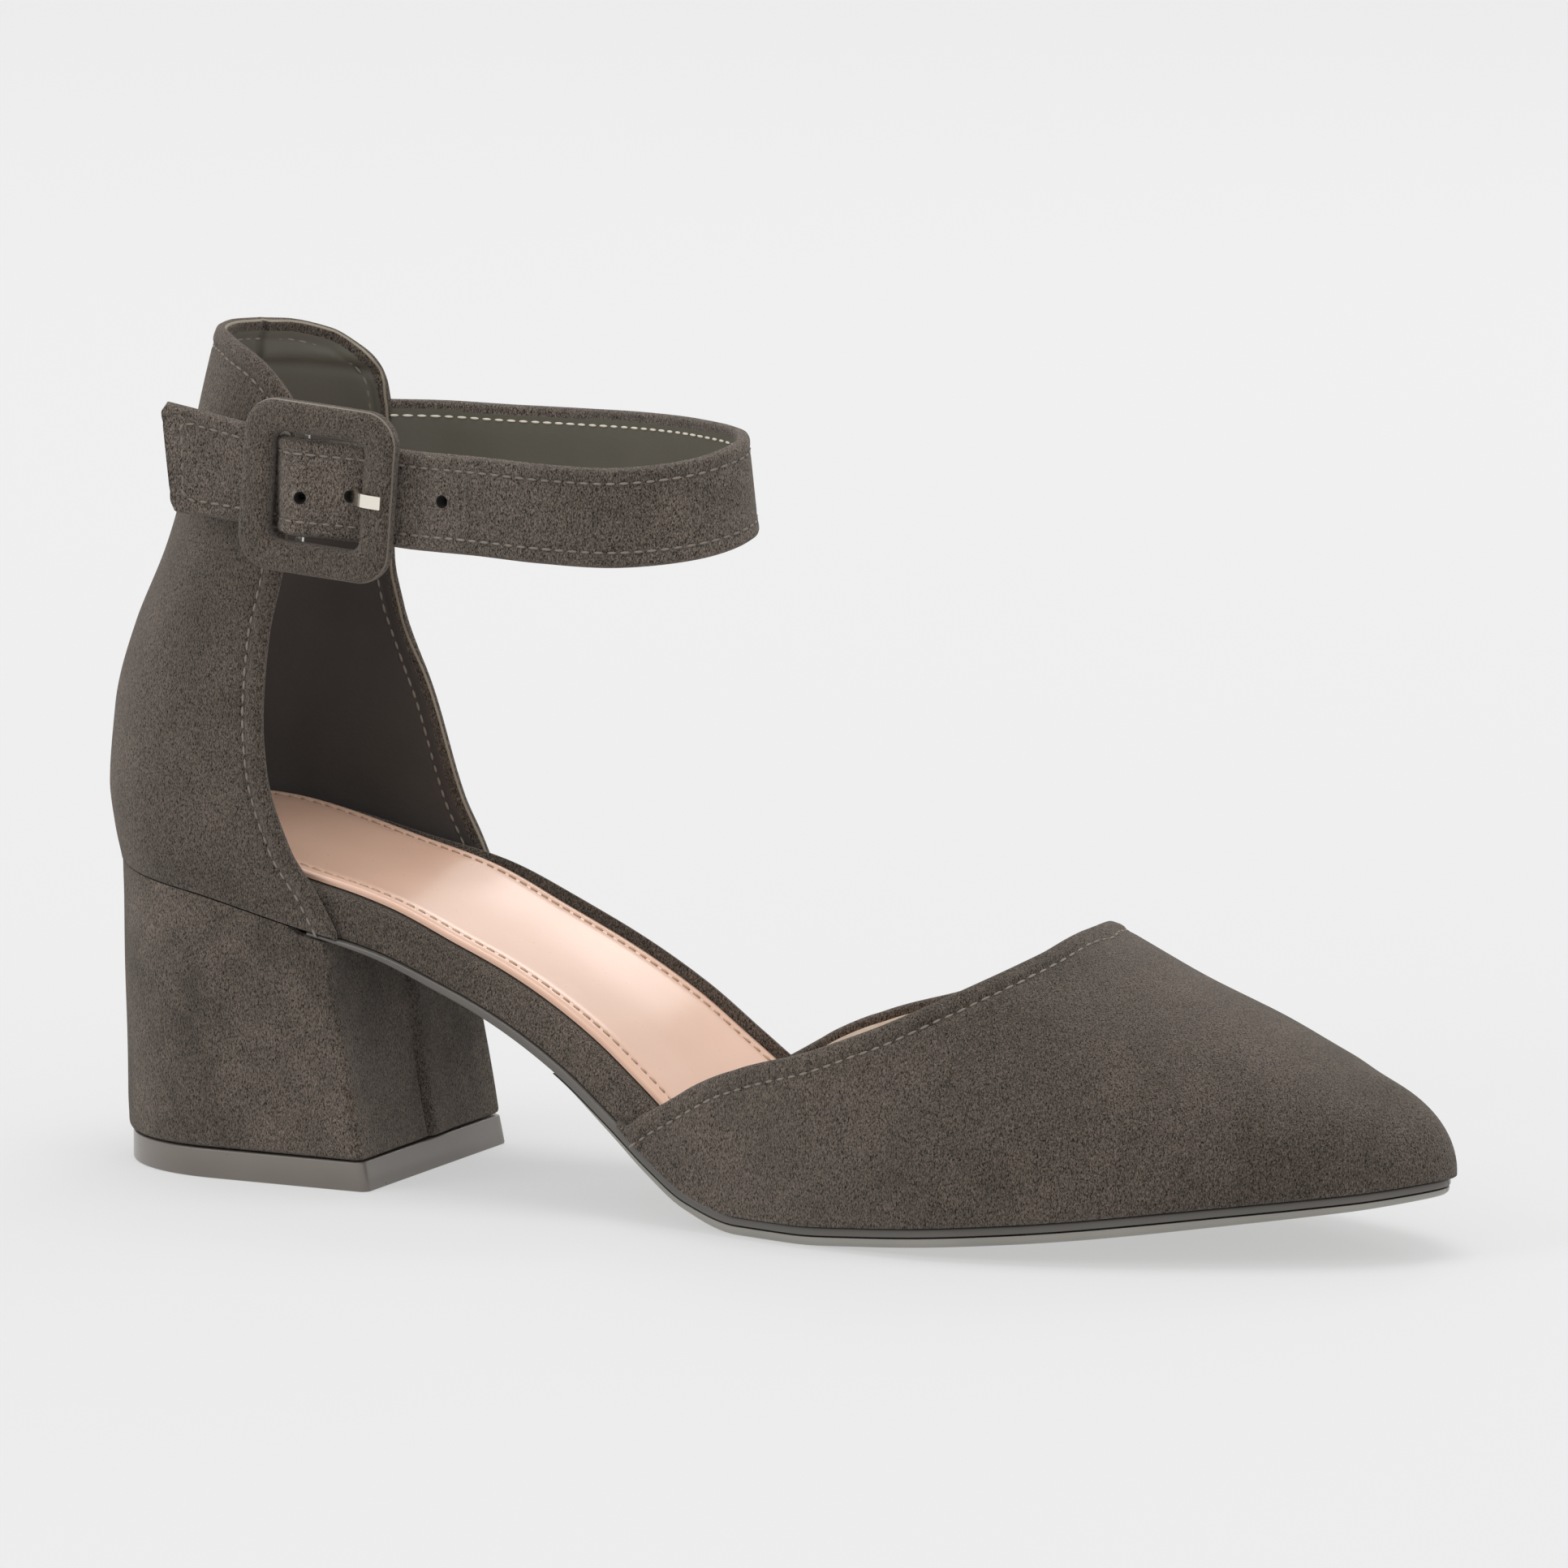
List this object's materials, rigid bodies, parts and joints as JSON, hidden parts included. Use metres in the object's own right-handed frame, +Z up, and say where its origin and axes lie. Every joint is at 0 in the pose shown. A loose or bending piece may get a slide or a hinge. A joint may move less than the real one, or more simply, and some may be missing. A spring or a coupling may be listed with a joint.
{
  "type": "open-sided pump",
  "caption": "Right-foot pointed-toe pump with open sides, high heel cup, ankle strap with a covered square buckle and a covered block heel.",
  "frame": {"origin": "centre of the ground face of the heel's top piece", "axes": "+X from the heel towards the toe, +Y towards the inner side of the foot, +Z up from the ground"},
  "size_m": [0.2538, 0.0759, 0.1491],
  "materials": {
    "sole_band": "semi-matt dark grey with a glossy line",
    "sole_tread": "pale grey, semi-gloss",
    "suede_heel": "brushed suede-look cover",
    "heel_rubber": "glossy grey-brown",
    "suede_footbed": "brushed suede-look cover",
    "sock": "glossy pink-beige with pale stitches",
    "suede_vamp": "brushed suede-look, smooth lining inside",
    "suede_quarter": "brushed suede-look, smooth lining inside",
    "suede_strap": "brushed suede-look, smooth olive-grey lining inside",
    "suede_buckle": "brushed suede-look cover over a padded frame",
    "bar_metal": "satin",
    "prong_metal": "bright, slightly warm",
    "suede_chape": "brushed suede-look strap"
  },
  "bodies": {
    "root": {"outsole": "sole_band", "outsole_tread": "sole_tread", "heel_block": "suede_heel", "heel_top_piece": "heel_rubber", "footbed": "suede_footbed", "sock_lining": "sock", "vamp": "suede_vamp", "quarter": "suede_quarter", "ankle_strap": "suede_strap", "buckle_frame": "suede_buckle", "buckle_bar": "bar_metal", "buckle_prong": "prong_metal", "buckle_chape": "suede_chape"}
  },
  "joints": []
}
